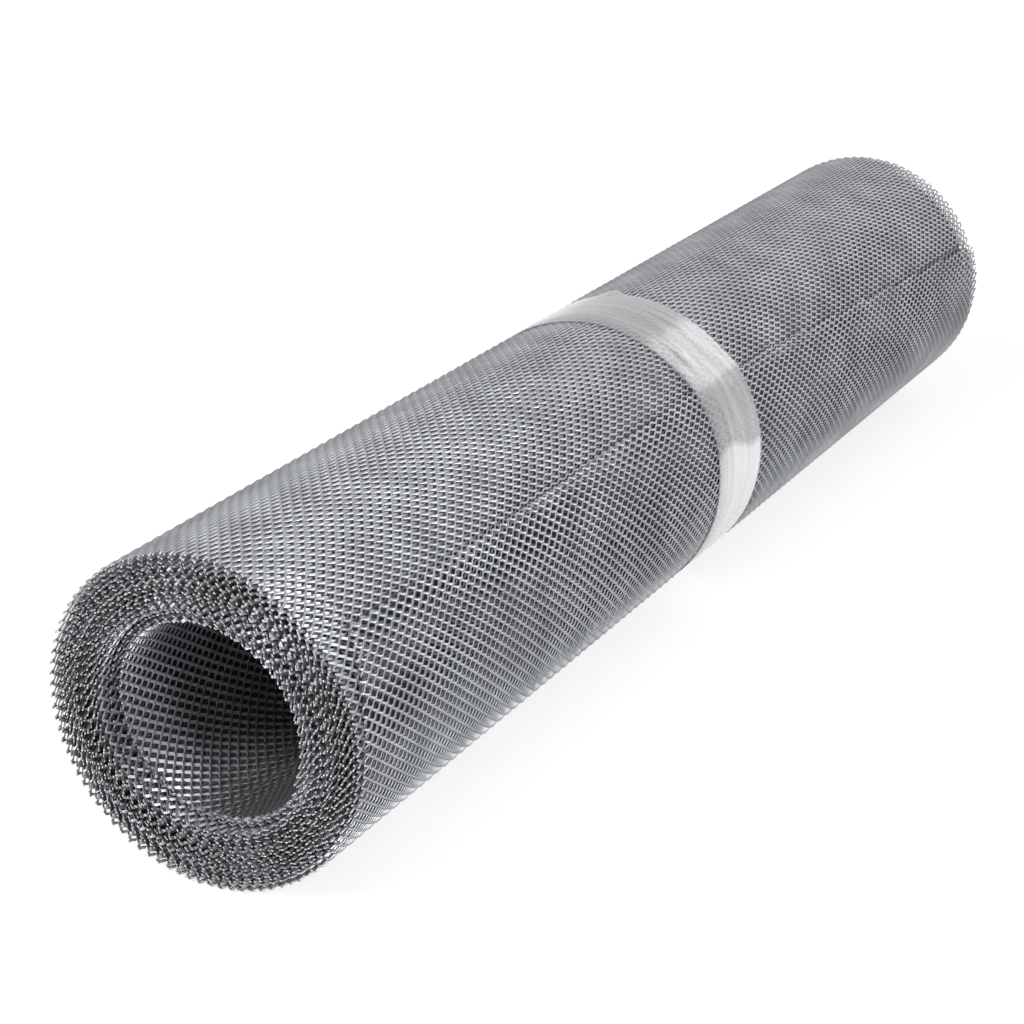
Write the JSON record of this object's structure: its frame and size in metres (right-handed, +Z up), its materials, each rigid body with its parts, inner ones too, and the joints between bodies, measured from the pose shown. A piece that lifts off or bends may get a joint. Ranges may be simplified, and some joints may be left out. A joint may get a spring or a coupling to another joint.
{
  "type": "roll of expanded metal mesh",
  "caption": "Roll of fine raised expanded metal mesh, lying on its side, with an open bore and a band of clear tape round its middle.",
  "frame": {"origin": "on the floor under the middle of the roll, at the bottom centre of its bounding box", "axes": "+X along the roll from its near end to its far end, +Z up; the free edge of the sheet is on the -Y side, above the middle"},
  "size_m": [0.61, 0.116, 0.1148],
  "materials": {
    "mesh_metal": "galvanised, cool grey, satin",
    "clear_tape": "clear film, glossy, wrinkled"
  },
  "bodies": {
    "root": {"mesh_roll": "mesh_metal", "tape_band": "clear_tape"}
  },
  "joints": []
}
